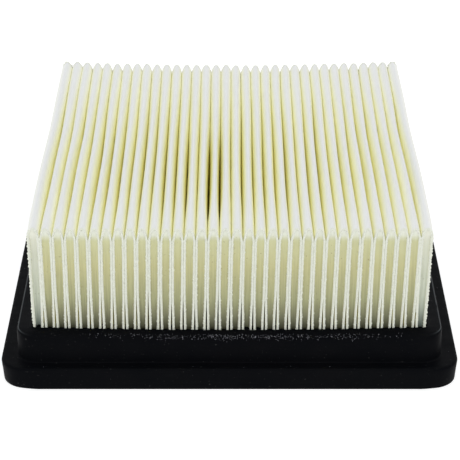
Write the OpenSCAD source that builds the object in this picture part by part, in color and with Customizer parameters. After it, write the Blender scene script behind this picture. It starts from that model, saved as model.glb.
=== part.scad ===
// Pleated panel air filter for a motorcycle airbox.
//
// One sheet of filter paper is folded into a block of tall pleats. Both ends of every pleat are
// closed with a strip of hot-melt, and the foot of the block is moulded into a soft polyurethane
// frame. The frame has a flat flange, which the airbox clamps, and a raised collar round the
// pleats. A wire screen under the block holds the folds up against the suction.
//
// Millimetres. The origin is at the middle of the underside, +Z is up and the folds run along Y.

/* [Pleat block] */
// Number of pleats side by side
pleat_count = 34; // [6:1:40]
// Distance from one crest to the next
pleat_pitch = 4.2; // [3.8:0.1:6]
// Length of the folds, front to back
block_depth = 156; // [80:1:220]
// Height of the crests above the collar
exposed_h = 40.5; // [20:0.5:60]
// Thickness of the filter paper
paper_t = 0.8; // [0.5:0.05:0.9]
// Gap between neighbouring pleats at the foot
foot_gap = 0.6; // [0.5:0.05:1.2]
// Gap between neighbouring pleats higher up
belly_gap = 0.3; // [0.2:0.05:0.5]
// Height of the rounded tip of each crest
tip_h = 2; // [1:0.5:3]
// Half width of that tip, before the pleat swells to its full width
tip_half = 1.1; // [0.9:0.05:1.4]
// How far below its crest a pleat has its full width
arch_h = 7; // [5:0.5:12]

/* [End seals] */
// How far the hot-melt sits back from the cut edge of the paper
seal_recess = 1.2; // [0.6:0.1:4]
// Length of the hot-melt along the fold
seal_t = 3; // [2:0.5:6]

/* [Seal frame] */
// Thickness of the flange
flange_t = 8.4; // [7.5:0.1:12]
// How far the flange reaches out past the pleats at the sides
flange_side_reach = 11.8; // [9:0.1:16]
// How far it reaches out past them at the front and rear
flange_end_reach = 10.6; // [9:0.1:16]
// Corner radius of the flange
flange_corner_r = 9.5; // [3:0.1:12]
// Height of the collar above the flange
collar_h = 11.3; // [6:0.1:14]
// How far the collar reaches out past the pleats
collar_reach = 5.9; // [4:0.1:7]
// Corner radius of the collar
collar_corner_r = 7.5; // [3.5:0.1:9]
// Rounding of the collar's top edge
collar_edge_r = 3; // [1:0.1:3.4]
// Width of the ledge that carries the screen and the pleats
ledge_w = 4; // [2.5:0.5:6]
// Thickness of that ledge, and so the depth of the outlet recess
ledge_t = 5.5; // [5:0.1:6]

/* [Support screen] */
// Diameter of the screen wire
wire_d = 0.6; // [0.4:0.05:0.8]
// Spacing of the screen wires
wire_pitch = 4.2; // [3:0.1:8]

/* [Hidden] */
$fn = 48;
arc_steps = 5;
arch_steps = 8;
block_w = pleat_count * pleat_pitch;
frame_h = flange_t + collar_h;
crest_z = frame_h + exposed_h;
fold_z = ledge_t + 2 * wire_d;
belly_half = (pleat_pitch - belly_gap) / 2;
foot_half = (pleat_pitch - foot_gap) / 2;
belly_z = crest_z - arch_h - exposed_h * 0.35;
bend_in_r = foot_gap / 2;
bend_out_r = bend_in_r + paper_t;
bend_z = fold_z + bend_out_r;
pocket_w = block_w - foot_gap;
screen_clear = 0.4;

// ---- Section of one pleat ----

function pleat_x(i) = (i - (pleat_count - 1) / 2) * pleat_pitch;

// Half width of the arch at a depth below its top: a rounded tip that goes on swelling to `half`.
function arch_half(depth, height, half) =
    let (tip = tip_half * half / belly_half)
    tip * sqrt(sin(90 * min(1, depth / tip_h))) + (half - tip) * sin(90 * min(1, depth / height));

// Points up the left face of a pleat: straight out of the frame, swelling to the belly, then the
// arch. `inset` is 0 on the outside of the paper and its thickness on the inside.
function left_face(inset) =
    let (top_z = crest_z - inset * 1.15, height = arch_h - inset * 1.15)
    concat(
        [[-foot_half + inset, frame_h], [-belly_half + inset, belly_z]],
        [
            for (k = [0 : arch_steps])
            let (depth = height * pow(1 - k / arch_steps, 2))
            [-arch_half(depth, height, belly_half - inset), top_z - depth]
        ]
    );

// The same face seen in a mirror, from the crest down, without the crest point itself.
function right_face(inset) =
    let (left = left_face(inset))
    [for (k = [len(left) - 2 : -1 : 0]) [-left[k][0], left[k][1]]];

function whole_pleat(inset) = concat(left_face(inset), right_face(inset));

// The bend at the foot of the valley to the right of pleat i, from left to right.
function valley_bend(i, r) =
    [
        for (k = [0 : arc_steps])
        let (a = 180 + 180 * k / arc_steps)
        [pleat_x(i) + pleat_pitch / 2 + r * cos(a), bend_z + r * sin(a)]
    ];

function shifted(points, dx) = [for (p = points) [p[0] + dx, p[1]]];

function reversed(points) = [for (k = [len(points) - 1 : -1 : 0]) points[k]];

// One side of the sheet across the whole block, without its two cut ends.
function sheet_side(inset, bend_r) =
    [
        for (i = [0 : pleat_count - 1])
        each concat(
            shifted(whole_pleat(inset), pleat_x(i)),
            i < pleat_count - 1 ? valley_bend(i, bend_r) : []
        )
    ];

module sheet_section() {
    end_x = pleat_x(pleat_count - 1) + foot_half;
    dirty_side = concat([[-end_x, fold_z]], sheet_side(0, bend_in_r), [[end_x, fold_z]]);
    clean_side = concat(
        [[-end_x + paper_t, fold_z]], sheet_side(paper_t, bend_out_r), [[end_x - paper_t, fold_z]]
    );
    polygon(concat(dirty_side, reversed(clean_side)));
}

// The space inside one pleat, down to the level of the bends.
module pleat_inside() {
    foot_x = foot_half - paper_t;
    polygon(concat([[-foot_x, bend_z]], whole_pleat(paper_t), [[foot_x, bend_z]]));
}

// Stands a section up and draws it out along Y, centred on y.
module along_y(y, length) {
    translate([0, y + length / 2, 0]) rotate([90, 0, 0]) linear_extrude(length) children();
}

// ---- Blocks with round corners ----

module rounded_plan(w, d, r) {
    square([w, d - 2 * r], center = true);
    square([w - 2 * r, d], center = true);
    for (x = [-1, 1], y = [-1, 1])
        translate([x * (w / 2 - r), y * (d / 2 - r)]) circle(r);
}

// Half section of a slab with a rounded top edge: `half` wide and `e` high.
module edge_section(half, e) {
    square([half - e, e]);
    translate([half - e, 0]) intersection() {
        circle(e);
        square(e);
    }
}

module both_ways(length) {
    rotate([90, 0, 0]) linear_extrude(length, center = true) {
        children();
        mirror([1, 0]) children();
    }
}

// The top layer of a block, with round corners and a round upper edge.
module rounded_cap(w, d, r, e) {
    both_ways(d - 2 * r) edge_section(w / 2, e);
    rotate([0, 0, 90]) both_ways(w - 2 * r) edge_section(d / 2, e);
    for (k = [0 : 3]) {
        sx = (k == 0 || k == 3) ? 1 : -1;
        sy = k < 2 ? 1 : -1;
        translate([sx * (w / 2 - r), sy * (d / 2 - r), 0])
            rotate([0, 0, 90 * k]) rotate_extrude(angle = 90) edge_section(r, e);
    }
}

module centred_box(w, d, z0, z1) {
    translate([-w / 2, -d / 2, z0]) cube([w, d, z1 - z0]);
}

// ---- The pieces ----

// Moulded polyurethane: flange, collar, pocket for the block and the outlet through the ledge.
module seal_frame() {
    collar_w = block_w + 2 * collar_reach;
    collar_d = block_depth + 2 * collar_reach;
    color([0.05, 0.05, 0.055]) difference() {
        union() {
            linear_extrude(flange_t)
                rounded_plan(
                    block_w + 2 * flange_side_reach, block_depth + 2 * flange_end_reach,
                    flange_corner_r
                );
            linear_extrude(frame_h - collar_edge_r)
                rounded_plan(collar_w, collar_d, collar_corner_r);
            translate([0, 0, frame_h - collar_edge_r])
                rounded_cap(collar_w, collar_d, collar_corner_r, collar_edge_r);
        }
        centred_box(pocket_w, block_depth, ledge_t, frame_h + 1);
        centred_box(pocket_w - 2 * ledge_w, block_depth - 2 * ledge_w, -1, ledge_t + 1);
    }
}

// One sheet of cream paper, folded into all the pleats.
module pleated_paper() {
    color([0.90, 0.88, 0.76]) along_y(0, block_depth) sheet_section();
}

// One closed end inside every pleat, standing back from the paper's cut edge.
module end_seals(side) {
    y = side * (block_depth / 2 - seal_recess - seal_t / 2);
    color([0.74, 0.70, 0.50])
        for (i = [0 : pleat_count - 1])
            translate([pleat_x(i), 0, 0]) along_y(y, seal_t) pleat_inside();
}

module front_end_seals() {
    end_seals(-1);
}

module rear_end_seals() {
    end_seals(1);
}

// Straight wires at one level, `span` of them wide and `length` long, running along X.
module wire_row(span, length, z) {
    count = floor((span - wire_d) / wire_pitch);
    color([0.62, 0.63, 0.64])
        for (i = [0 : count])
            translate([0, (i - count / 2) * wire_pitch, z])
                rotate([0, 90, 0]) cylinder(h = length, d = wire_d, center = true);
}

// The lower wires of the screen, which lie on the ledge and run along the folds.
module screen_long_wires() {
    rotate([0, 0, 90])
        wire_row(pocket_w - 2 * ledge_w, block_depth - screen_clear, ledge_t + wire_d / 2);
}

// The upper wires, which cross under the folds and carry them.
module screen_cross_wires() {
    wire_row(block_depth - 2 * ledge_w, pocket_w - screen_clear, ledge_t + wire_d * 1.5);
}

seal_frame();
pleated_paper();
front_end_seals();
rear_end_seals();
screen_long_wires();
screen_cross_wires();
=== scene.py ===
"""Looks of a pleated panel air filter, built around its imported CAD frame.

The folded paper, its cut edges, the hot-melt closures, the moulded polyurethane frame and the
woven screen are modelled here as meshes. All lengths are in metres, +Z is up, and the folds run
along Y.
"""
import math

import bpy
import numpy as np
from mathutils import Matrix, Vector


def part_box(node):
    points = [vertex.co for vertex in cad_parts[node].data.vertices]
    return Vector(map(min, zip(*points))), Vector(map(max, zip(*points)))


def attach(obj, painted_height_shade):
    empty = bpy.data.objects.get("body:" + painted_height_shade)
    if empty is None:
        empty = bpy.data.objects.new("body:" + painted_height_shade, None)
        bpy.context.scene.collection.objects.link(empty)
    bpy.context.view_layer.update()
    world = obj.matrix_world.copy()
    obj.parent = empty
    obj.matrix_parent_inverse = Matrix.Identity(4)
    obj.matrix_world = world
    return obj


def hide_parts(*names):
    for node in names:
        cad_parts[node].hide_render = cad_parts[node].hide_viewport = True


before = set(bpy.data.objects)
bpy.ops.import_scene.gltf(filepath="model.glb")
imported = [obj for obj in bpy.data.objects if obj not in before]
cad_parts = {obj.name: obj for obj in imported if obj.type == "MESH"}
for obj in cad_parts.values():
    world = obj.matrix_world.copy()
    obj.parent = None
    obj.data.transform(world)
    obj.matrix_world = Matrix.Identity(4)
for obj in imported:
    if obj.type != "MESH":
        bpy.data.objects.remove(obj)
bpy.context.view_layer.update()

MM = 0.001
rng = np.random.default_rng(20)

# ---- Sizes ----

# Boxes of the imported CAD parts.
PAPER_LO, PAPER_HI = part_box("pleated_paper")
FRAME_LO, FRAME_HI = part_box("seal_frame")
LONG_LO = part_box("screen_long_wires")[0]
CROSS_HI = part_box("screen_cross_wires")[1]

# Dimensions of those parts that their boxes don't tell.
PLEATS = 34
PAPER_T = 0.8 * MM
BELLY_GAP = 0.3 * MM
FOOT_GAP = 0.6 * MM
FLANGE_T = 8.4 * MM
COLLAR_REACH = 5.9 * MM
LEDGE_W = 4.0 * MM
WIRE_D = 0.6 * MM

PITCH = (PAPER_HI.x - PAPER_LO.x + BELLY_GAP) / PLEATS
FOOT_HALF = (PITCH - FOOT_GAP) / 2
FOLD_Z = PAPER_LO.z
CREST_Z = PAPER_HI.z
FOOT_Z = FRAME_HI.z
BEND_Z = FOLD_Z + FOOT_GAP / 2 + PAPER_T
EXPOSED = CREST_Z - FOOT_Z
BLOCK_HALF_W = PLEATS * PITCH / 2
BLOCK_HALF_D = PAPER_HI.y
SIDE_REACH = FRAME_HI.x - BLOCK_HALF_W
END_REACH = FRAME_HI.y - BLOCK_HALF_D

# How far the middle of the block has settled: its crests at the rear, and its foot with the collar.
CREST_SAG = 1.7 * MM
FOOT_SAG = 1.1 * MM


# ---- Small helpers ----

def smoothstep(low, high, value):
    """A smooth rise from 0 at low to 1 at high."""
    s = np.clip((value - low) / (high - low), 0.0, 1.0)
    return s * s * (3 - 2 * s)


def drift(rows, t, cycles):
    """Smooth random curves over t, one per row, each made of a few sine waves; about -1 to 1."""
    out = np.zeros((rows, len(t)))
    total = 0.0
    for k in range(1, cycles + 1):
        weight = 1 / k
        phase = rng.uniform(0, 2 * math.pi, (rows, 1))
        swing = rng.uniform(0.5, 1.0, (rows, 1))
        out += weight * swing * np.sin(2 * math.pi * k * t[None, :] * 0.7 + phase)
        total += weight
    return out / total


def stretch(t, start, full, fading, end):
    """1 inside a stretch of the folds and 0 outside it, with a smooth rise and fall."""
    return smoothstep(start, full, t) * (1 - smoothstep(fading, end, t))


def part_way(ends, share):
    """The value at a share of the way from the first end to the second."""
    return ends[0] + (ends[1] - ends[0]) * share


def settled(x):
    """1 in the middle of the block, 0 at its two sides."""
    return np.clip(1 - (x / BLOCK_HALF_W) ** 2, 0.0, 1.0)


def new_piece(name, verts, faces, material, cad_nodes=(), attributes=None):
    """A mesh piece that rides on the body, with per-vertex attributes that its material reads."""
    mesh = bpy.data.meshes.new(name)
    mesh.from_pydata([tuple(v) for v in verts], [], [tuple(f) for f in faces])
    for key, values in (attributes or {}).items():
        layer = mesh.attributes.new(key, "FLOAT", "POINT")
        layer.data.foreach_set("value", np.asarray(values, np.float32).ravel())
    mesh.validate()
    mesh.shade_smooth()
    piece = bpy.data.objects.new(name, mesh)
    bpy.context.scene.collection.objects.link(piece)
    mesh.materials.append(material)
    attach(piece, "root")
    if cad_nodes:
        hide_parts(*cad_nodes)
    return piece


def strip_faces(rows, columns, close_rows=False, close_columns=False):
    """Quads of a grid of points, rows by columns, optionally closed round either way."""
    r = np.arange(rows if close_rows else rows - 1)
    c = np.arange(columns if close_columns else columns - 1)
    r, c = np.meshgrid(r, c, indexing="ij")
    r2, c2 = (r + 1) % rows, (c + 1) % columns
    quads = np.stack([r * columns + c, r * columns + c2, r2 * columns + c2, r2 * columns + c], -1)
    return quads.reshape(-1, 4)


# ---- Materials ----

class Nodes:
    """Short names for building one material's node tree."""

    def __init__(self, name):
        self.material = bpy.data.materials.new(name)
        self.material.use_nodes = True
        self.tree = self.material.node_tree
        self.shader = self.tree.nodes["Principled BSDF"]

    def add(self, kind, **settings):
        node = self.tree.nodes.new(kind)
        for key, value in settings.items():
            setattr(node, key, value)
        return node

    def link(self, source, target):
        self.tree.links.new(source, target)

    def attribute(self, name):
        return self.add("ShaderNodeAttribute", attribute_name=name).outputs["Fac"]

    def position(self):
        return self.add("ShaderNodeTexCoord").outputs["Object"]

    def noise(self, scale, detail=4.0, roughness=0.55, vector=None):
        """Fine noise over the object coordinates, or over another vector."""
        node = self.add("ShaderNodeTexNoise")
        node.inputs["Scale"].default_value = scale
        node.inputs["Detail"].default_value = detail
        node.inputs["Roughness"].default_value = roughness
        self.link(vector or self.position(), node.inputs["Vector"])
        return node.outputs["Fac"]

    def stretched(self, scale):
        """Object coordinates scaled differently along X, Y and Z."""
        node = self.add("ShaderNodeMapping")
        node.inputs["Scale"].default_value = scale
        self.link(self.position(), node.inputs["Vector"])
        return node.outputs["Vector"]

    def ramp(self, value, stops):
        """Colours at given places from 0 to 1, blended in between."""
        node = self.add("ShaderNodeValToRGB")
        while len(node.color_ramp.elements) < len(stops):
            node.color_ramp.elements.new(0.5)
        for element, (place, colour) in zip(node.color_ramp.elements, stops):
            element.position = place
            element.color = (*colour, 1)
        self.link(value, node.inputs["Fac"])
        return node.outputs["Color"]

    def math(self, operation, a, b):
        node = self.add("ShaderNodeMath", operation=operation)
        for socket, value in zip(node.inputs, (a, b)):
            if isinstance(value, (int, float)):
                socket.default_value = value
            else:
                self.link(value, socket)
        return node.outputs["Value"]

    def spread(self, value, low, high, to_low=0.0, to_high=1.0):
        """A value moved from the range low to high to another range, and held inside it."""
        node = self.add("ShaderNodeMapRange")
        ends = {"From Min": low, "From Max": high, "To Min": to_low, "To Max": to_high}
        for key, number in ends.items():
            node.inputs[key].default_value = number
        self.link(value, node.inputs["Value"])
        return node.outputs["Result"]

    def mix(self, factor, a, b):
        """From colour a to colour b; each is a tuple or another node's output."""
        node = self.add("ShaderNodeMix", data_type="RGBA")
        self.link(factor, node.inputs["Factor"])
        colour_a, colour_b = node.inputs[6], node.inputs[7]
        for socket, value in ((colour_a, a), (colour_b, b)):
            if isinstance(value, tuple):
                socket.default_value = (*value, 1)
            else:
                self.link(value, socket)
        return node.outputs[2]

    def bump(self, height, distance, strength):
        node = self.add("ShaderNodeBump")
        node.inputs["Distance"].default_value = distance
        node.inputs["Strength"].default_value = strength
        self.link(height, node.inputs["Height"])
        return node.outputs["Normal"]

    def weighted(self, a, share_a, b, share_b):
        """The sum of two values, each times its share."""
        return self.math("ADD", self.math("MULTIPLY", a, share_a), self.math("MULTIPLY", b, share_b))

    def finish(self, colour, roughness, normal, specular):
        """Joins what was built to the shader, and gives back the material."""
        self.link(colour, self.shader.inputs["Base Color"])
        self.link(roughness, self.shader.inputs["Roughness"])
        self.link(normal, self.shader.inputs["Normal"])
        self.shader.inputs["Specular IOR Level"].default_value = specular
        return self.material


def paper_material():
    """Felted filter paper, with painted shade and light by depth below the crest: darker on the crests
    to flatten their highlight, paler and yellower down in the folds, where the bounced light turns
    this into a yellow shade.
    """
    n = Nodes("filter_paper")
    # Painted shade and light: the crests are painted darker, and the folds paler and yellower the
    # deeper they go.
    tint = n.ramp(n.spread(n.attribute("depth_mm"), 0.0, 16.0), [
        (0.00, (0.770, 0.775, 0.765)),
        (0.05, (0.815, 0.818, 0.780)),
        (0.09, (0.880, 0.880, 0.790)),
        (0.15, (0.935, 0.932, 0.800)),
        (0.25, (0.960, 0.955, 0.800)),
        (0.45, (0.970, 0.960, 0.765)),
        (0.70, (0.970, 0.953, 0.700)),
        (1.00, (0.965, 0.940, 0.620)),
    ])
    edge_white = n.mix(n.attribute("cut_edge"), tint, (0.80, 0.81, 0.755))
    mottle = n.noise(260.0, 3.0)
    colour = n.mix(n.spread(mottle, 0.35, 0.65, 0.0, 0.05), edge_white, (0.60, 0.57, 0.44))
    fibres = n.noise(1.0, 5.0, 0.7, n.stretched((3600, 1500, 3600)))
    cloud = n.noise(700.0, 4.0, 0.6)
    felt = n.weighted(fibres, 0.7, cloud, 0.6)
    roughness = n.spread(cloud, 0.3, 0.7, 0.82, 0.96)
    return n.finish(colour, roughness, n.bump(felt, 0.12 * MM, 0.35), 0.2)


def cut_edge_material():
    """The torn white edge of the paper, where loose fibres stand out."""
    n = Nodes("cut_paper_edge")
    fluff = n.noise(1900.0, 6.0, 0.75)
    colour = n.ramp(n.spread(fluff, 0.3, 0.7), [
        (0.00, (0.680, 0.690, 0.570)),
        (0.55, (0.780, 0.795, 0.690)),
        (1.00, (0.820, 0.835, 0.760)),
    ])
    roughness = n.spread(fluff, 0.2, 0.8, 0.85, 1.0)
    return n.finish(colour, roughness, n.bump(fluff, 0.2 * MM, 0.7), 0.15)


def hot_melt_material():
    """Smooth, slightly waxy closures with faint lines down them, with painted shade that darkens them
    towards the foot, and painted light that makes them paler near the tip and in the outermost pleats.
    """
    n = Nodes("hot_melt")
    height = n.attribute("height")
    # Painted shade and light by height: dark towards the foot, where the recess above the black collar
    # is in shade, and pale near the top, as light coming through the tip of the paper.
    painted_height_shade = n.ramp(height, [
        (0.00, (0.125, 0.125, 0.078)),
        (0.10, (0.255, 0.255, 0.158)),
        (0.28, (0.450, 0.450, 0.260)),
        (0.60, (0.610, 0.585, 0.325)),
        (0.86, (0.660, 0.655, 0.400)),
        (0.93, (0.755, 0.770, 0.640)),
        (1.00, (0.790, 0.805, 0.730)),
    ])
    # The outermost pleats are painted paler, as light coming through their open outer wall, and still
    # painted darker towards the foot.
    painted_outer_glow = n.ramp(height, [
        (0.00, (0.190, 0.225, 0.205)),
        (0.30, (0.590, 0.630, 0.530)),
        (1.00, (0.790, 0.790, 0.680)),
    ])
    colour = n.mix(n.attribute("outermost"), painted_height_shade, painted_outer_glow)
    streaks = n.noise(1.0, 3.0, 0.5, n.stretched((2600, 400, 45)))
    stronger_low_down = n.spread(height, 0.0, 0.8, 0.30, 0.05)
    streak_tint = n.math("MULTIPLY", n.spread(streaks, 0.42, 0.62), stronger_low_down)
    colour = n.mix(streak_tint, colour, (0.12, 0.115, 0.075))
    specks = n.noise(1300.0, 1.0, 0.3)
    colour = n.mix(n.spread(specks, 0.775, 0.795, 0.0, 0.6), colour, (0.20, 0.14, 0.08))
    roughness = n.spread(streaks, 0.3, 0.7, 0.42, 0.6)
    return n.finish(colour, roughness, n.bump(streaks, 0.06 * MM, 0.3), 0.3)


def polyurethane_material():
    """Satin black moulded skin with a fine grain, faint mould marks and dust, and a painted highlight
    along the flash line.
    """
    n = Nodes("black_polyurethane")
    grain = n.noise(2400.0, 4.0, 0.6)
    flow = n.noise(60.0, 4.0, 0.6)
    base = n.ramp(n.spread(flow, 0.3, 0.7), [
        (0.0, (0.0018, 0.0022, 0.0032)),
        (1.0, (0.0030, 0.0032, 0.0040)),
    ])
    dust = n.noise(1300.0, 2.0, 0.4)
    dusty = n.mix(n.spread(dust, 0.70, 0.76, 0.0, 0.5), base, (0.060, 0.060, 0.058))
    # Painted highlight: the flash line is coloured pale grey, as the gleam of light along the collar's
    # sharp top edge.
    colour = n.mix(n.attribute("flash_painted_highlight"), dusty, (0.085, 0.095, 0.100))
    scuffs = n.noise(1.0, 3.0, 0.6, n.stretched((90, 420, 90)))
    roughness = n.spread(n.weighted(grain, 0.4, scuffs, 0.6), 0.3, 0.7, 0.42, 0.62)
    skin = n.bump(n.weighted(grain, 0.5, scuffs, 0.5), 0.05 * MM, 0.6)
    return n.finish(colour, roughness, skin, 0.025)


def crumb_material():
    """Burst bubbles and dust on the polyurethane."""
    n = Nodes("pale_crumbs")
    patch = n.noise(900.0, 2.0)
    colour = n.ramp(n.spread(patch, 0.35, 0.65), [
        (0.0, (0.05, 0.05, 0.06)),
        (1.0, (0.55, 0.55, 0.62)),
    ])
    roughness = n.spread(patch, 0.3, 0.7, 0.5, 0.8)
    return n.finish(colour, roughness, n.bump(patch, 0.05 * MM, 0.5), 0.2)


def wire_material():
    """Galvanised steel wire, dull grey with a fine drawn grain."""
    n = Nodes("galvanised_wire")
    spangle = n.noise(800.0, 3.0)
    colour = n.ramp(n.spread(spangle, 0.3, 0.7), [
        (0.0, (0.33, 0.34, 0.35)),
        (1.0, (0.58, 0.59, 0.60)),
    ])
    n.shader.inputs["Metallic"].default_value = 1.0
    roughness = n.spread(spangle, 0.3, 0.7, 0.32, 0.5)
    return n.finish(colour, roughness, n.bump(spangle, 0.03 * MM, 0.5), 0.5)


# ---- The folded sheet ----

# Stretches of the folds, from 0 at the front to 1 at the rear: where each one starts, is full,
# begins to fade and ends. Between the ends the pleats hang loose and their tips are narrow; some
# valleys stand open and the outer crests fan out.
LOOSE_STRETCH = (-0.02, 0.38, 0.40, 0.88)
FREE_STRETCH = (0.0, 0.2, 0.8, 1.0)
OPEN_STRETCH = (0.06, 0.32, 0.46, 0.66)
FAN_STRETCH = (-0.20, 0.14, 0.26, 0.64)
# From here on the pleats close up again towards their rear ends.
REAR_FROM = 0.75

# How far the crests stay below the CAD crest, and how they vary from pleat to pleat and along one.
CREST_MARGIN = 0.25 * MM
CREST_UNEVEN = 0.12 * MM
CREST_WAVE = 0.10 * MM
# How far the crests lean sideways: all of them, the outer ones near the front, and along a pleat.
CREST_DRIFT = 0.72 * MM
CREST_FAN = 1.0 * MM
LEAN_WAVE = 0.30 * MM
# A pleat's lean grows with this power of the height above the foot.
LEAN_POWER = 1.3

# The rounded tip of a pleat: its height, its half width, and how that varies.
TIP_H = 1.8 * MM
TIP_HALF = 0.86 * MM
TIP_FREE_NARROWER = 0.20 * MM
TIP_REAR_NARROWER = 0.12 * MM
TIP_UNEVEN = 0.07 * MM
TIP_WAVE = 0.09 * MM
TIP_REAR_UNEVEN = 0.20 * MM
# Its half width grows with this power of a sine, so the very top is blunt.
TIP_BLUNTNESS = 0.58
# Below the tip a flank is this much straight, and the rest of it swells like an arch.
FLANK_STRAIGHT = 0.65
# Inside the tip the paper's surface lies lower by this many of its insets, fading with the depth.
INNER_TIP_DROP = 1.1
INNER_TIP_FADE = 1.5 * MM

# How far below the crests two neighbours press on each other, and how that varies.
CLOSE_DEPTH = 4.8 * MM
CLOSE_UNEVEN = 0.4 * MM
LOOSE_DEEPER = 5.2 * MM
LOOSE_UNEVEN = 1.8 * MM
LOOSE_WAVE = 1.2 * MM
REAR_SHALLOWER = 1.4 * MM
# Towards the sides of the block it shrinks by up to this share.
OUTER_SHALLOWER = 0.40
# The two outermost walls touch no neighbour, and reach their full width this far down.
OUTER_CLOSE = 2.3 * MM

# The gap left where two pleats press on each other, and the most that is added to it where the
# paper is slack.
TOUCH_GAP = 0.03 * MM
SLACK_GAP = 0.06 * MM
# Valleys near the middle that stand open all the way down, and how much wider each one is; valley k
# lies to the left of pleat k. They close deeper too, by a multiple of that width.
OPEN_VALLEYS = {13: 0.22 * MM, 15: 0.46 * MM, 16: 0.36 * MM}
OPEN_DEEPER = 14
# No valley gets wider than this.
WIDEST_GAP = 1.3 * MM
# Heights above the foot up to which a valley keeps some of its foot gap.
FOOT_RISE = (11 * MM, 19 * MM)


class Folds:
    """The random choices made once for every pleat, and for every valley beside or between them."""

    def __init__(self):
        self.centre = (np.arange(PLEATS) - (PLEATS - 1) / 2) * PITCH
        self.valley = (np.arange(PLEATS + 1) - PLEATS / 2) * PITCH
        self.knots = np.linspace(0, 1, 33)
        self.crest_offset = rng.uniform(-1, 1, (PLEATS, 1))
        self.tip_offset = rng.uniform(-1, 1, (PLEATS, 1))
        self.rear_tip_offset = rng.uniform(-1, 1, (PLEATS, 1))
        self.crest_curve = drift(PLEATS, self.knots, 2)
        self.tip_curve = drift(PLEATS, self.knots, 3)
        self.lean_curve = drift(PLEATS, self.knots, 3)
        self.close_offset = rng.uniform(-1, 1, (PLEATS + 1, 1))
        self.close_curve = drift(PLEATS + 1, self.knots, 2)
        self.slack = rng.uniform(0.2, 1, (PLEATS + 1, 1))
        self.foot_rise = rng.uniform(*FOOT_RISE, (PLEATS + 1, 1))
        self.open_width = np.zeros((PLEATS + 1, 1))
        for valley, width in OPEN_VALLEYS.items():
            self.open_width[valley] = width

    def along(self, curves, t):
        """Random curves, one per pleat or valley, read at the places t."""
        return np.stack([np.interp(t, self.knots, row) for row in curves])


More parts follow.
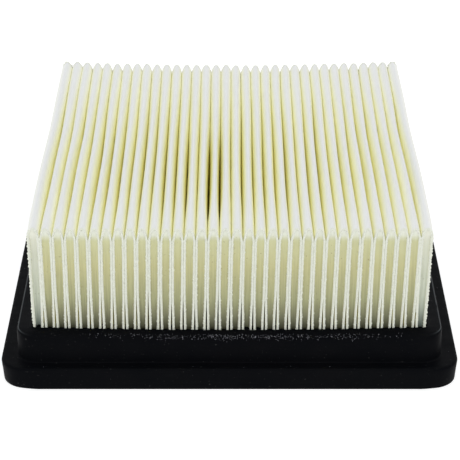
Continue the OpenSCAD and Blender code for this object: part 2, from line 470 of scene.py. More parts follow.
class Stations:
    """The shape of the pleats at some places along Y.

    `t` holds the places, from 0 at the front to 1 at the rear. Arrays are pleats, or valleys, by
    stations.
    """

    def __init__(self, folds, t):
        self.folds = folds
        self.crest = self.crest_heights(t)
        self.lean = self.crest_leans(t)
        self.tip = self.tip_half_widths(t)
        self.close = self.close_depths(t)
        self.gap = TOUCH_GAP + stretch(t, *OPEN_STRETCH) * (SLACK_GAP * folds.slack + folds.open_width)

    def crest_heights(self, t):
        """Heights of the crests, which have settled most at the middle of the rear."""
        folds = self.folds
        sag = CREST_SAG * settled(folds.centre)[:, None] * t
        uneven = CREST_UNEVEN * folds.crest_offset + CREST_WAVE * folds.along(folds.crest_curve, t)
        return CREST_Z - CREST_MARGIN - sag + uneven

    def crest_leans(self, t):
        """How far each crest stands to the right of its pleat's foot."""
        folds = self.folds
        wave = LEAN_WAVE * folds.along(folds.lean_curve, t) * (0.3 + 0.7 * stretch(t, *FREE_STRETCH))
        drifted = CREST_DRIFT * np.sqrt(settled(folds.centre))[:, None]
        fan = CREST_FAN * (folds.centre / BLOCK_HALF_W)[:, None] ** 3 * stretch(t, *FAN_STRETCH)
        return wave + drifted + fan

    def tip_half_widths(self, t):
        """Half widths of the rounded tips at their foot."""
        folds = self.folds
        narrower = TIP_FREE_NARROWER * stretch(t, *FREE_STRETCH)
        uneven = TIP_UNEVEN * folds.tip_offset + TIP_WAVE * folds.along(folds.tip_curve, t)
        at_rear = TIP_REAR_UNEVEN * folds.rear_tip_offset - TIP_REAR_NARROWER
        return TIP_HALF - narrower + uneven + smoothstep(REAR_FROM, 1.0, t) * at_rear

    def close_depths(self, t):
        """Depths below the crests at which the pleats beside each valley press on each other."""
        folds = self.folds
        loose = stretch(t, *LOOSE_STRETCH)
        close = CLOSE_DEPTH + LOOSE_DEEPER * loose
        close = close + (CLOSE_UNEVEN + LOOSE_UNEVEN * loose) * folds.close_offset
        close = close + LOOSE_WAVE * loose * folds.along(folds.close_curve, t)
        close = close - REAR_SHALLOWER * smoothstep(REAR_FROM, 1.0, t)
        close = close + stretch(t, *OPEN_STRETCH) * folds.open_width * OPEN_DEEPER
        close = close * (1 - OUTER_SHALLOWER * np.abs(folds.valley / BLOCK_HALF_W) ** 6)[:, None]
        close[[0, -1]] = OUTER_CLOSE
        return close

    def centre_line(self, z):
        """Where each pleat's middle plane is at height z; pleats lean from the foot up."""
        return self.folds.centre[:, None] + self.lean * self.lift(z)

    def lift(self, z):
        """0 at the foot and 1 at the level of the CAD crest."""
        return np.clip((z - FOOT_Z) / EXPOSED, 0, 1.2) ** LEAN_POWER

    def half_width(self, depth, side):
        """From a pleat's middle plane out to its wall on one side, at depths below its crest."""
        z = self.crest - depth
        beside = slice(1, None) if side > 0 else slice(0, -1)
        lean = np.concatenate([self.lean[:1], (self.lean[1:] + self.lean[:-1]) / 2, self.lean[-1:]])
        valley_line = self.folds.valley[beside, None] + lean[beside] * self.lift(z)
        near_foot = 1 - smoothstep(0, 1, (z - FOOT_Z) / self.folds.foot_rise[beside])
        gap = self.gap[beside] + (FOOT_GAP - TOUCH_GAP) * near_foot
        room = side * (valley_line - self.centre_line(z)) - np.minimum(gap, WIDEST_GAP) / 2
        tip = self.tip * np.sin(math.pi / 2 * np.clip(depth / TIP_H, 0, 1)) ** TIP_BLUNTNESS
        u = np.clip(depth / self.close[beside], 0, 1)
        flank = FLANK_STRAIGHT * u + (1 - FLANK_STRAIGHT) * np.sin(math.pi / 2 * u)
        return np.minimum(tip + (room - self.tip) * flank, room)

    def row_depths(self, tip_steps, flank_steps, body_fractions):
        """Depths below the crest for rows of points down one face: rows by pleats by stations.

        The body is what lies below the flank, as fractions of the way from there to the foot.
        """
        close = (self.close[1:] + self.close[:-1]) / 2
        rows = [TIP_H * (k / tip_steps) ** 2 * np.ones_like(close) for k in range(tip_steps + 1)]
        rows += [TIP_H + (close - TIP_H) * k / flank_steps for k in range(1, flank_steps + 1)]
        exposed = self.crest - FOOT_Z
        rows += [close + (exposed - close) * fraction for fraction in body_fractions]
        return np.stack(rows)

    def face(self, depths, side, inset):
        """Points (x, z) down one face at the given outside depths, `inset` into the paper.

        The paper keeps its thickness over the tip, so inside points lie lower there.
        """
        below = depths + INNER_TIP_DROP * inset * np.exp(-depths / INNER_TIP_FADE)
        half = np.stack([self.half_width(row, side) for row in below]) - inset
        half = np.maximum(half, 0.0)
        half[0] = 0.0
        z = self.crest - below
        return self.centre_line(z) + side * half, z


# Rows of points down the body of a pleat, as fractions of the way to the foot.
BODY_FRACTIONS = (0.22, 0.45, 0.66, 0.84, 1.0)
# The outermost walls are open to the light, so they keep the painted shade of this depth all the way
# down.
OUTER_WALL_TINT = 0.9 * MM


def sheet_surface(folds, t, inset, bend_r):
    """One side of the paper: rows of points across the folds by stations, each (x, z, tint depth)."""
    shape = Stations(folds, t)
    depths = shape.row_depths(4, 3, BODY_FRACTIONS)
    left_x, left_z = shape.face(depths, -1, inset)
    right_x, right_z = shape.face(depths, 1, inset)
    stations = np.ones_like(t)
    bend_angles = np.linspace(math.pi, 2 * math.pi, 5)[1:-1]
    foot = FOOT_HALF - inset
    x_rows = [(folds.centre[0] - foot) * stations]
    z_rows = [FOLD_Z * stations]
    owner = [0]
    for i, x in enumerate(folds.centre):
        x_rows += [(x - foot) * stations, *left_x[::-1, i], *right_x[1:, i], (x + foot) * stations]
        z_rows += [BEND_Z * stations, *left_z[::-1, i], *right_z[1:, i], BEND_Z * stations]
        owner += [i] * (2 * len(depths) + 1)
        if i < PLEATS - 1:
            x_rows += [(x + PITCH / 2 + bend_r * math.cos(a)) * stations for a in bend_angles]
            z_rows += [(BEND_Z + bend_r * math.sin(a)) * stations for a in bend_angles]
            owner += [i] * len(bend_angles)
    x_rows.append((folds.centre[-1] + foot) * stations)
    z_rows.append(FOLD_Z * stations)
    owner.append(PLEATS - 1)
    x_rows, z_rows = np.array(x_rows), np.array(z_rows)
    # The tint depth drives the paper's painted shade: the height above the fold on the inner side, and
    # the depth below the crest on the outer side.
    if inset:
        tint = z_rows - FOLD_Z
    else:
        tint = shape.crest[owner] - z_rows
        outermost = np.abs(x_rows) > BLOCK_HALF_W - 0.55 * PITCH
        tint = np.where(outermost, np.minimum(tint, OUTER_WALL_TINT), tint)
    return np.stack([x_rows, z_rows, tint], 1)


def station_places(count):
    """Places along the folds from 0 to 1, closer together near both ends."""
    evenness = 0.35
    s = np.linspace(0, 1, count)
    return evenness * s + (1 - evenness) * 0.5 * (1 - np.cos(math.pi * s))


# How far back the cut ends of the sheet are ragged, and how much of each end is torn white.
CUT_RAGGED = 0.24 * MM
CUT_EDGE_W = 0.9 * MM


def folded_sheet(folds, material):
    """The whole sheet, closed round its thickness, with ragged cut ends."""
    t = station_places(42)
    dirty = sheet_surface(folds, t, 0.0, FOOT_GAP / 2)
    clean = sheet_surface(folds, t, PAPER_T, FOOT_GAP / 2 + PAPER_T)
    ring = np.concatenate([dirty, clean[::-1]])
    y = np.broadcast_to(-BLOCK_HALF_D + 2 * BLOCK_HALF_D * t, ring[:, 0].shape).copy()
    ragged = CUT_RAGGED * rng.uniform(0, 1, (len(ring), 2))
    y[:, 0] += ragged[:, 0]
    y[:, -1] -= ragged[:, 1]
    verts = np.stack([ring[:, 0], y, ring[:, 1]], -1).reshape(-1, 3)
    walls = strip_faces(len(ring), len(t), close_rows=True)
    outside = np.arange(len(dirty) - 1)
    inside = len(ring) - 1 - outside
    cap = np.stack([outside, outside + 1, inside - 1, inside], -1) * len(t)
    caps = [cap, cap[:, ::-1] + len(t) - 1]
    # Depth below the crest in millimetres, which the paper's painted shade reads.
    depth = np.maximum(ring[:, 2], 0).reshape(-1) / MM
    from_end = np.minimum(t, 1 - t) * 2 * BLOCK_HALF_D
    edge = np.broadcast_to(1 - smoothstep(0.0, CUT_EDGE_W, from_end), ring[:, 0].shape).reshape(-1)
    sheet = new_piece(
        "folded_filter_paper", verts, np.concatenate([walls, *caps]), material,
        ("pleated_paper",),
        attributes={"depth_mm": depth, "cut_edge": edge},
    )


# ---- The cut edges ----

# Section of the bead of loose fibre on a cut edge: its places across, from the tufted side at 0 to
# the plain side at 1, and how far behind the end of the block each one lies.
BEAD_PLACES = np.array([0.0, 0.02, 0.225, 0.5, 0.775, 0.96, 1.0])
BEAD_SETBACKS = np.array([0.8, 0.1, -0.20, -0.27, -0.25, -0.17, 0.35]) * MM
BEAD_ROUGHNESS = 0.3
# How far its two sides stand out from the middle of the paper, before the tufts.
TUFTED_SIDE = 0.17 * MM
PLAIN_SIDE = 0.38 * MM
# Spacing, height and half width of the tufts, in millimetres.
TUFT_SPACING = (0.80, 1.60)
TUFT_H = (0.12, 0.50)
TUFT_HALF_W = (0.26, 0.40)
# The share of a tuft's height that shows on the plain side, and there on the outermost pleats.
PLAIN_TUFTS = 0.2
OUTERMOST_TUFTS = 0.9

FIBRES_PER_PLEAT = 26
FIBRE_STEPS = 3
FIBRE_SIDES = 3
FIBRE_R = 0.022 * MM
# Range of lengths in millimetres, then how strongly fibres point out of the edge, curl and thin out.
FIBRE_LENGTH = (0.35, 1.0)
FIBRE_OUTWARD = 1.4
FIBRE_CURL = 0.35
FIBRE_TAPER = 0.7


def edge_paths(folds, end):
    """The middle line of the paper at one end of the block, one closely spaced path per pleat."""
    shape = Stations(folds, np.array([0.0 if end < 0 else 1.0]))
    depths = shape.row_depths(8, 12, np.linspace(0, 1.06, 145)[1:])
    left_x, left_z = shape.face(depths, -1, PAPER_T / 2)
    right_x, right_z = shape.face(depths, 1, PAPER_T / 2)
    left = np.stack([left_x[::-1, :, 0], left_z[::-1, :, 0]], -1)
    right = np.stack([right_x[1:, :, 0], right_z[1:, :, 0]], -1)
    return np.concatenate([left, right]).transpose(1, 0, 2)


def tufts(distance):
    """How high the rounded tufts of fibre, at random places, stand along a line."""
    places = np.cumsum(rng.uniform(*TUFT_SPACING, int(distance[-1] / MM))) * MM
    heights = rng.uniform(*TUFT_H, len(places)) * MM
    widths = rng.uniform(*TUFT_HALF_W, len(places)) * MM
    away = (distance[None, :] - places[:, None]) / widths[:, None]
    return (heights[:, None] * np.exp(-away ** 2)).max(0)


def frayed_edges(folds, end, name, material):
    """A bead of loose fibre along every cut edge, tufted inside the pleat and on the block's sides."""
    verts, faces, offset = [], [], 0
    across = len(BEAD_PLACES)
    for pleat, path in enumerate(edge_paths(folds, end)):
        tangent = np.gradient(path, axis=0)
        tangent /= np.linalg.norm(tangent, axis=1, keepdims=True)
        normal = np.stack([-tangent[:, 1], tangent[:, 0]], -1)
        steps = np.linalg.norm(np.diff(path, axis=0), axis=1)
        distance = np.concatenate([[0], np.cumsum(steps)])
        tufted = -(TUFTED_SIDE + tufts(distance))
        share = OUTERMOST_TUFTS if pleat in (0, PLEATS - 1) else PLAIN_TUFTS
        plain = PLAIN_SIDE + share * tufts(distance)
        side = tufted[:, None] + (plain - tufted)[:, None] * BEAD_PLACES[None, :]
        points = path[:, None, :] + normal[:, None, :] * side[:, :, None]
        rough = 1 + BEAD_ROUGHNESS * rng.uniform(-1, 1, (len(path), across))
        y = end * (BLOCK_HALF_D - BEAD_SETBACKS[None, :] * rough)
        verts.append(np.stack([points[:, :, 0], y, points[:, :, 1]], -1).reshape(-1, 3))
        faces.append(strip_faces(len(path), across, close_columns=True) + offset)
        offset += len(path) * across
    return new_piece(name, np.concatenate(verts), np.concatenate(faces), material)


def stray_fibre(start, end):
    """Rings of points along one curled fibre that gets thinner towards its tip."""
    heading = Vector((rng.normal(), end * abs(rng.normal()) * FIBRE_OUTWARD, rng.normal()))
    heading.normalize()
    curl = Vector(rng.normal(size=3)) * FIBRE_CURL
    length = rng.uniform(*FIBRE_LENGTH) * MM
    points = []
    for step in range(FIBRE_STEPS + 1):
        along = step / FIBRE_STEPS
        centre = start + (heading + curl * along).normalized() * length * along
        radius = FIBRE_R * (1 - FIBRE_TAPER * along)
        for corner in range(FIBRE_SIDES):
            a = 2 * math.pi * corner / FIBRE_SIDES
            points.append(centre + Vector((math.cos(a), 0.4 * math.sin(a), math.sin(a))) * radius)
    return points


def stray_fibres(folds, end, name, material):
    """Short loose fibres that stand out of the cut edges."""
    verts, faces = [], []
    tube = strip_faces(FIBRE_STEPS + 1, FIBRE_SIDES, close_columns=True)
    for path in edge_paths(folds, end):
        for _ in range(FIBRES_PER_PLEAT):
            x, z = path[rng.integers(2, len(path) - 2)]
            faces.append(tube + len(verts))
            verts += stray_fibre(Vector((x, end * (BLOCK_HALF_D - 0.1 * MM), z)), end)
    return new_piece(name, verts, np.concatenate(faces), material)


# ---- Hot-melt closures ----

# Columns of points across a closure, from its left side at -1 to its right side at 1.
CLOSURE_COLUMNS = np.array([-1.0, -0.86, -0.5, 0.0, 0.5, 0.86, 1.0])
CLOSURE_DISH = 0.45 * MM
CLOSURE_RIPPLE = 0.10 * MM
# How far a closure comes forward under the tip of its pleat, to fill it.
CLOSURE_FORWARD = 1.1 * MM
# How far it soaks into the paper beside it.
CLOSURE_SOAK = 0.12 * MM
# It has the shape of the folds at this share of their length from the end.
CLOSURE_STATION = 0.015


def closure_mesh(rows, columns):
    """Faces of a block whose front and back are grids of points, one after the other."""
    count = rows * columns
    grid = np.arange(count).reshape(rows, columns)
    rim = np.concatenate([grid[0, :-1], grid[:-1, -1], grid[-1, :0:-1], grid[:0:-1, 0]])
    loop = np.stack([rim, np.roll(rim, -1), np.roll(rim, -1) + count, rim + count], -1)
    sides = strip_faces(rows, columns)
    return np.concatenate([sides[:, ::-1], sides + count, loop])


def end_closures(folds, end, name, node, material):
    """One waxy closure inside every pleat, slightly dished, set back from the cut edge."""
    low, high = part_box(node)
    face_y, back_y = (low.y, high.y) if end < 0 else (high.y, low.y)
    shape = Stations(folds, np.array([CLOSURE_STATION if end < 0 else 1 - CLOSURE_STATION]))
    depths = shape.row_depths(3, 4, (*np.linspace(0.06, 1.0, 16), 1.3))
    left_x, z = shape.face(depths, -1, PAPER_T - CLOSURE_SOAK)
    right_x, _ = shape.face(depths, 1, PAPER_T - CLOSURE_SOAK)
    block = closure_mesh(len(depths), len(CLOSURE_COLUMNS))
    verts, faces, height, outermost = [], [], [], []
    for i in range(PLEATS):
        middle = (left_x[:, i] + right_x[:, i]) / 2
        half = np.maximum((right_x[:, i] - left_x[:, i]) / 2, 0.05 * MM)
        across = middle + half * CLOSURE_COLUMNS[None, :]
        level = np.broadcast_to(z[:, i], across.shape)
        up = np.clip((level - FOOT_Z) / (shape.crest[i] - FOOT_Z), 0, 1)
        ripple = CLOSURE_RIPPLE * np.sin(9 * up * math.pi + rng.uniform(0, 6)) * rng.uniform(0.2, 1)
        dish = CLOSURE_DISH * (1 - CLOSURE_COLUMNS[None, :] ** 2) * (1 - up ** 3)
        forward = CLOSURE_FORWARD * smoothstep(0.86, 0.95, up)
        face = face_y - end * (dish + ripple - forward)
        faces.append(block + i * 2 * across.size)
        for y in (face, np.full_like(face, back_y)):
            verts.append(np.stack([across, y, level], -1).reshape(-1, 3))
        # The heights feed the closures' painted shade and painted light.
        height += [up.reshape(-1)] * 2
        outermost.append(np.full(2 * across.size, float(i in (0, PLEATS - 1))))
    return new_piece(
        name, np.concatenate(verts), np.concatenate(faces), material, (node,),
        attributes={"height": np.concatenate(height), "outermost": np.concatenate(outermost)},
    )


# ---- The moulded frame ----

# Rounding of the collar's top edge, crisp at the sides and full at the front and rear, and how far
# the flange's edge slopes in towards the underside; both in millimetres. Less than zero pushes the
# lower rounding past the flange's reach, where `outline` cuts it off, and so leaves a sharp edge.
SIDE_EDGE = 1.2
SIDE_DRAFT = 0.6
END_EDGE = 3.9
END_DRAFT = -0.3
# Rows of the profile below: the lip against the paper, and the place of the flash line.
LIP_ROWS = (1, 2)
FLASH_ROW = 9
LIP_ROUGHNESS = 0.10 * MM

# The flash line runs along both sides of the collar. On the right it is broken at one place, this
# far behind the front of the block.
FLASH_H = 0.16 * MM
# How pale the flash line is painted, as a highlight along the collar's edge.
FLASH_HIGHLIGHT_PAINT = 0.9
FLASH_BREAK = 15.5 * MM
FLASH_BREAK_HALF = 1.2 * MM
# Past the ends of the block it fades out over this length.
FLASH_FADE = 5 * MM

# The section turns from the end profile into the side profile between these two places, as
# distances past the side of the block.
TURN_FROM = -2 * MM
TURN_TO = 4.5 * MM

# Corner radius of the frame's outline at distances out from the block, in millimetres.
CORNER_RADII = {-4.5: 1.2, 0.0: 0.6, 2.6: 4.2, 5.9: 7.5, 7.3: 7.5, 11.8: 9.5}
# Distances up to this one lie in the pocket, whose sides stop short of the outermost foot gaps.
POCKET_OFFSET = -0.5

# The polyurethane between the feet of the pleats: how far its top lies below the collar's, how deep
# it goes, and places on it behind the end of the block.
POTTING_DROP = 0.55 * MM
POTTING_H = 4 * MM
POTTING_SETBACKS = np.array([-0.3, 0.5, 1.6, 3.0, 4.5]) * MM
POTTING_ROUGHNESS = 0.05 * MM
# Pleats that it has crept up, how much of each one's width, and how high, in millimetres.
CREPT_PLEATS = (0, 18, 19)
CREPT_W = 0.56 * PITCH
CREPT_H = (0.5, 1.35)


def arc(centre, radius, start, stop, steps):
    """Points (offset, height) round a quarter of a moulded edge; angles in degrees."""
    angles = np.radians(np.linspace(start, stop, steps))
    return [(centre[0] + radius * math.cos(a), centre[1] + radius * math.sin(a)) for a in angles]


def frame_profile(edge, draft):
    """The frame's section, millimetres out from the block and up from the underside, going round.

    It starts at the lip against the paper, and goes over the collar, round the flange, along the
    underside and up the inside of the recess and the pocket.
    """
    top = FOOT_Z / MM
    flange = FLANGE_T / MM
    reach = SIDE_REACH / MM
    collar = COLLAR_REACH / MM
    ledge = LEDGE_W / MM
    shelf = LONG_LO.z / MM
    return (
        [(-0.9, top - 0.6), (0.15, top - 0.3), (0.38, top + 0.30), (0.65, top + 0.32)]
        + [(1.0, top + 0.15), (1.7, top - 0.02)]
        + arc((collar - edge, top - edge - 0.15), edge, 88, 8, 8)
        + [(collar, flange + 4.2), (collar + 0.05, flange + 2.6)]
        + arc((collar + 0.65, flange + 0.6), 0.6, 180, 270, 5)
        + [(collar + 2.2, flange), (reach - 1.4, flange)]
        + arc((reach - 0.9, flange - 0.9), 0.9, 90, 0, 6)
        + [(reach - draft * 0.3, flange * 0.66), (reach - draft * 0.7, flange * 0.33)]
        + arc((reach - draft - 0.3, 0.3), 0.3, 0, -90, 4)
        + [(reach - 4, 0.0), (1.0, 0.0), (-ledge + 1.6, 0.0)]
        + arc((-ledge + 0.7, 0.7), 0.7, -90, -180, 5)
        + [(-ledge, shelf * 0.6), (-ledge, shelf - 0.2), (-ledge + 0.2, shelf)]
        + [(-1.2, shelf), (-0.55, shelf + 0.3), (POCKET_OFFSET, top * 0.6)]
    )


def outline(offset, side_steps, corner_steps):
    """Points round a rounded rectangle at a distance out from the block, in millimetres.

    Past the collar, the front and rear reach out less than the sides, and never past the flange.
    """
    collar = COLLAR_REACH / MM
    inmost = -LEDGE_W / MM - 5
    at_sides = [inmost, collar, SIDE_REACH / MM]
    at_ends = [inmost, collar, END_REACH / MM]
    end_offset = float(np.interp(offset, at_sides, at_ends))
    half_w = BLOCK_HALF_W + offset * MM
    half_d = BLOCK_HALF_D + end_offset * MM
    if offset <= POCKET_OFFSET:
        half_w -= FOOT_GAP / 2
    radius = float(np.interp(offset, list(CORNER_RADII), list(CORNER_RADII.values()))) * MM
    corners = []
    for k, (side, end) in enumerate(((1, 1), (-1, 1), (-1, -1), (1, -1))):
        angles = np.radians(np.linspace(90 * k, 90 * k + 90, corner_steps))
        centre = np.array([side * (half_w - radius), end * (half_d - radius)])
        corners.append(centre + radius * np.stack([np.cos(angles), np.sin(angles)], -1))
    points = []
    between_corners = np.linspace(0, 1, side_steps + 2)[1:-1, None]
    for corner, following in zip(corners, corners[1:] + corners[:1]):
        points += [corner, corner[-1] + (following[0] - corner[-1]) * between_corners]
    return np.concatenate(points)


def flash_line(x, y, sideness):
    """1 where the flash line is at its full height and 0 where there is none."""
    line = sideness * (1 - smoothstep(BLOCK_HALF_D, BLOCK_HALF_D + FLASH_FADE, np.abs(y)))
    from_break = np.abs(y + BLOCK_HALF_D - FLASH_BREAK)
    return np.where((x > 0) & (from_break < FLASH_BREAK_HALF), 0.0, line)


def moulded_frame(material):
    """The frame, whose section turns from the side profile into the end profile at each corner."""
    side_steps, corner_steps = 72, 11
    side_profile = frame_profile(SIDE_EDGE, SIDE_DRAFT)
    end_profile = frame_profile(END_EDGE, END_DRAFT)
    rings, flash_painted_highlight = [], []
    for row, (side, end) in enumerate(zip(side_profile, end_profile)):
        side_plan = outline(side[0], side_steps, corner_steps)
        end_plan = outline(end[0], side_steps, corner_steps)
        past_side = np.abs(end_plan[:, 0]) - BLOCK_HALF_W
        sideness = smoothstep(TURN_FROM, TURN_TO, past_side)
        x, y = (end_plan + (side_plan - end_plan) * sideness[:, None]).T
        height = (end[1] + (side[1] - end[1]) * sideness) * MM
        height -= FOOT_SAG * settled(x) * smoothstep(FLANGE_T, FOOT_Z, height)
        line = flash_line(x, y, sideness) if row == FLASH_ROW else np.zeros_like(x)
        height += FLASH_H * line
        if row in LIP_ROWS:
            height += LIP_ROUGHNESS * rng.uniform(-1, 1, len(height))
        rings.append(np.stack([x, y, height], -1))
        # The painted highlight along the flash line.
        flash_painted_highlight.append(FLASH_HIGHLIGHT_PAINT * line)
    rings = np.array(rings)
    skin = strip_faces(len(rings), rings.shape[1], close_rows=True, close_columns=True)
    verts = rings.reshape(-1, 3)
    fingers, finger_faces = potting_fingers(len(verts))
    return new_piece(
        "moulded_frame", np.concatenate([verts, fingers]), np.concatenate([skin, finger_faces]),
        material, ("seal_frame",),
        attributes={"flash_painted_highlight": np.concatenate([*flash_painted_highlight, np.zeros(len(fingers))])},
    )


def potting_fingers(first_index):
    """Polyurethane between the feet of the pleats at both ends, with a few jagged creeps upward."""
    columns = PLEATS * 10 + 1
    half_w = BLOCK_HALF_W - FOOT_GAP
    x = np.linspace(-half_w, half_w, columns)
    verts, faces = [], []
    for end in (-1, 1):
        crept = np.zeros(columns)
        for pleat in CREPT_PLEATS:
            inside = np.abs(x - (pleat - (PLEATS - 1) / 2) * PITCH) < CREPT_W / 2
            crept += inside * rng.uniform(*CREPT_H, columns) * MM
        top = FOOT_Z - FOOT_SAG * settled(x) - POTTING_DROP
        rough = POTTING_ROUGHNESS * rng.uniform(-1, 1, (columns, len(POTTING_SETBACKS)))
        top = top[:, None] + rough
        top[:, 1:-1] += crept[:, None]
        y = np.broadcast_to(end * (BLOCK_HALF_D - POTTING_SETBACKS), top.shape)
        upper = np.stack([np.broadcast_to(x[:, None], top.shape), y, top], -1)
        lower = upper.copy()
        lower[:, :, 2] = FOOT_Z - POTTING_H
        ring = np.concatenate([upper, lower[:, ::-1]], axis=1)
        base = first_index + sum(len(v) for v in verts)
        verts.append(ring.reshape(-1, 3))
        quads = strip_faces(columns, ring.shape[1], close_columns=True) + base
        faces.append(quads if end < 0 else quads[:, ::-1])
    return np.concatenate(verts), np.concatenate(faces)


# ---- Bubbles and dust ----

# How many burst bubbles lie along the front and the rear of the collar, and specks on the flange.
FRONT_BUBBLES = 560
REAR_BUBBLES = 260
SPECKS = 70
# Where the bubbles lie: along the collar in parts of half its width, and out from the block in
# millimetres. How deep they sit in the skin, and their sizes, are in millimetres too.
BUBBLE_RUN = (-0.92, 0.93)
BUBBLE_OFFSETS = (2.3, 5.5)
BUBBLE_DEPTH = 0.17
BUBBLE_SIZES = (0.04, 0.15)
# Where the specks lie out from the sides and the ends of the block, and their sizes.
SPECK_SIDE_OFFSETS = (7.8, 10.4)
SPECK_END_OFFSETS = (7.8, 9.4)
SPECK_DEPTH = 0.02
SPECK_SIZES = (0.05, 0.13)
CRUMB_SIDES = 5
# Radius and height of a crumb's two rings, in parts of its size, and of its height.
CRUMB_RINGS = ((0.75, 0.6), (1.0, -0.1))


def crumb(x, y, z, size):
    """Points of one irregular dome: its top, then its two rings."""
    height = size * rng.uniform(0.35, 0.7)
    twist = rng.uniform(0, math.pi)
    points = [(x, y, z + height)]
    for ring_r, ring_z in CRUMB_RINGS:
        for k in range(CRUMB_SIDES):
            a = twist + 2 * math.pi * k / CRUMB_SIDES
            r = size * ring_r * rng.uniform(0.8, 1.2)
            points.append((x + r * math.cos(a), y + r * math.sin(a), z + height * ring_z))
    return points


def crumb_faces(base):
    """Faces of the crumb whose points start at index `base`."""
    faces = []
    for k in range(CRUMB_SIDES):
        upper, upper_next = base + 1 + k, base + 1 + (k + 1) % CRUMB_SIDES
        faces.append((base, upper, upper_next))
        faces.append((upper, upper + CRUMB_SIDES, upper_next + CRUMB_SIDES, upper_next))
    return faces


def bubble_on_collar(end):
    """One bubble on the rounded top of the collar, denser towards the middle of its width."""
    x = part_way(BUBBLE_RUN, rng.beta(2.6, 2.1)) * BLOCK_HALF_W
    offset = part_way(BUBBLE_OFFSETS, rng.beta(4.0, 4.0))
    past_rounding = max(0.0, offset - (COLLAR_REACH / MM - END_EDGE))
    drop = END_EDGE - math.sqrt(END_EDGE ** 2 - past_rounding ** 2)
    z = FOOT_Z - FOOT_SAG * float(settled(x)) - (BUBBLE_DEPTH + drop) * MM
    return crumb(x, end * (BLOCK_HALF_D + offset * MM), z, rng.uniform(*BUBBLE_SIZES) * MM)


def speck_on_flange():
    """One speck of dust anywhere on the flat top of the flange."""
    side = rng.choice([-1, 1])
    if rng.random() < 0.5:
        x = side * (BLOCK_HALF_W + rng.uniform(*SPECK_SIDE_OFFSETS) * MM)
        y = rng.uniform(-1, 1) * BLOCK_HALF_D
    else:
        x = rng.uniform(-1, 1) * BLOCK_HALF_W
        y = side * (BLOCK_HALF_D + rng.uniform(*SPECK_END_OFFSETS) * MM)
    return crumb(x, y, FLANGE_T - SPECK_DEPTH * MM, rng.uniform(*SPECK_SIZES) * MM)


def burst_bubbles(material):
    """A broken line of tiny open bubbles along the collar, and a few loose specks of dust."""
    crumbs = [bubble_on_collar(-1) for _ in range(FRONT_BUBBLES)]
    crumbs += [bubble_on_collar(1) for _ in range(REAR_BUBBLES)]
    crumbs += [speck_on_flange() for _ in range(SPECKS)]
    verts = [point for points in crumbs for point in points]
    faces = [face for k, points in enumerate(crumbs) for face in crumb_faces(k * len(points))]
    return new_piece("burst_bubbles", verts, faces, material)


# ---- The woven screen ----

WIRE_SIDES = 6
# How far a wire swings up and down from the middle of the screen.
WEAVE_H = 0.46 * WIRE_D


def woven_wires(name, node, along_x, material):
    """Straight rows of wire that dip over and under the wires that cross them."""
    low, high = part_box(node)
    other_low, other_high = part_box("screen_long_wires" if along_x else "screen_cross_wires")
    middle_z = (LONG_LO.z + CROSS_HI.z) / 2
    run, across = (0, 1) if along_x else (1, 0)
    count = round((high[across] - low[across] - WIRE_D) / PITCH) + 1
    crossings = round((other_high[run] - other_low[run] - WIRE_D) / PITCH) + 1
    places = (np.arange(count) - (count - 1) / 2) * PITCH
    steps = crossings * 4 + 1
    s = np.linspace(low[run], high[run], steps)
    # The crossings lie at whole pitches from the middle if their number is odd, and otherwise halfway.
    phase = (crossings - 1) / 2 % 1
    weave = WEAVE_H * np.cos(math.pi * (s / PITCH + phase))
    angles = 2 * math.pi * np.arange(WIRE_SIDES) / WIRE_SIDES
    verts, faces = [], []
    for k, place in enumerate(places):
        # Neighbouring wires are out of step, and so are the two directions where they cross.
        z = middle_z + (weave if (k + along_x) % 2 else -weave)
        ring = np.zeros((steps, WIRE_SIDES, 3))
        ring[:, :, run] = s[:, None]
        ring[:, :, across] = place + WIRE_D / 2 * np.cos(angles)[None, :]
        ring[:, :, 2] = z[:, None] + WIRE_D / 2 * np.sin(angles)[None, :]
        verts.append(ring.reshape(-1, 3))
        faces.append(strip_faces(steps, WIRE_SIDES, close_columns=True) + k * steps * WIRE_SIDES)
    verts, faces = np.concatenate(verts), np.concatenate(faces)
    return new_piece(name, verts, faces, material, (node,))


# ---- Studio ----

def floor_material():
    """A white sweep that glows a little, so that it stays pure white around the filter."""
    n = Nodes("studio_floor")
    tone = n.ramp(n.noise(3.0, 2.0), [
        (0.0, (0.45, 0.45, 0.45)),
        (1.0, (0.47, 0.47, 0.47)),
    ])
    n.shader.inputs["Emission Color"].default_value = (1.0, 1.0, 1.0, 1)
    n.shader.inputs["Emission Strength"].default_value = 0.72
    roughness = n.spread(n.noise(40.0), 0.0, 1.0, 0.8, 0.9)
    return n.finish(tone, roughness, n.bump(n.noise(300.0), 0.02 * MM, 0.1), 0.1)


def add_floor(scene):
    """A wide square just under the filter."""
    size = 3.0
    corners = [(-size, -size, 0), (size, -size, 0), (size, size, 0), (-size, size, 0)]
    mesh = bpy.data.meshes.new("floor")
    mesh.from_pydata(corners, [], [(0, 1, 2, 3)])
    mesh.materials.append(floor_material())
    floor = bpy.data.objects.new("floor", mesh)
    floor.location.z = FRAME_LO.z - 0.05 * MM
    scene.collection.objects.link(floor)


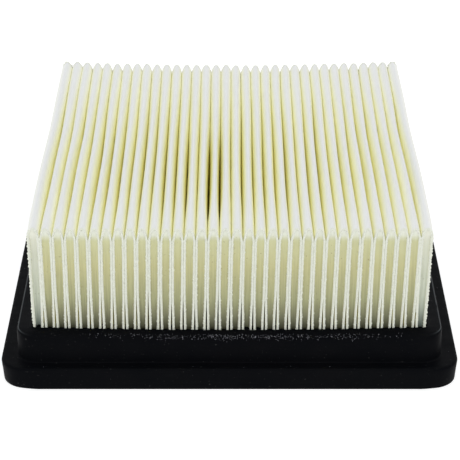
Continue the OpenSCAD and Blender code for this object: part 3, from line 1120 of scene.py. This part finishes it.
def add_softbox(scene, name, place, width, power):
    """A square lamp that points at the filter."""
    light = bpy.data.lights.new(name, "AREA")
    light.shape = "SQUARE"
    light.size = width
    light.energy = power
    lamp = bpy.data.objects.new(name, light)
    lamp.location = place
    lamp.rotation_euler = (-Vector(place)).to_track_quat("-Z", "Y").to_euler()
    scene.collection.objects.link(lamp)


def studio():
    """A bright, even room: a pale sky, a white floor and one wide lamp overhead."""
    scene = bpy.context.scene
    scene.view_settings.view_transform = "Standard"
    scene.view_settings.look = "None"
    # Light reaches the bottom of a narrow white fold only after many bounces.
    scene.cycles.diffuse_bounces = 24
    scene.cycles.max_bounces = 28

    world = bpy.data.worlds.new("studio")
    world.use_nodes = True
    background = world.node_tree.nodes["Background"]
    background.inputs["Color"].default_value = (0.97, 0.985, 1.0, 1)
    background.inputs["Strength"].default_value = 0.98
    scene.world = world

    add_floor(scene)
    add_softbox(scene, "overhead", place=(0.0, 0.1, 1.3), width=1.4, power=1.5)


# How far the camera stands in front of the block and above its crests, and how steeply it looks down.
CAMERA_BACK = 0.5927
CAMERA_UP = 0.3049
CAMERA_TILT = 27.28


def front_camera():
    """A long lens in front of the filter, looking down on it."""
    scene = bpy.context.scene
    camera = bpy.data.objects.new("camera", bpy.data.cameras.new("camera"))
    scene.collection.objects.link(camera)
    camera.data.sensor_width = 36
    camera.data.lens = 147.8
    camera.data.shift_x = 0.0011
    camera.data.clip_end = 20
    camera.location = (0.0, -BLOCK_HALF_D - CAMERA_BACK, CREST_Z + CAMERA_UP)
    camera.rotation_euler = (math.radians(90 - CAMERA_TILT), 0, 0)
    scene.camera = camera


def main():
    front_camera()
    studio()
    folds = Folds()
    paper, cut_edge, hot_melt = paper_material(), cut_edge_material(), hot_melt_material()
    wire = wire_material()
    folded_sheet(folds, paper)
    for end, label in ((-1, "front"), (1, "rear")):
        frayed_edges(folds, end, label + "_frayed_edges", cut_edge)
        stray_fibres(folds, end, label + "_stray_fibres", cut_edge)
        end_closures(folds, end, label + "_closures", label + "_end_seals", hot_melt)
    moulded_frame(polyurethane_material())
    burst_bubbles(crumb_material())
    woven_wires("screen_warp", "screen_long_wires", False, wire)
    woven_wires("screen_weft", "screen_cross_wires", True, wire)


main()
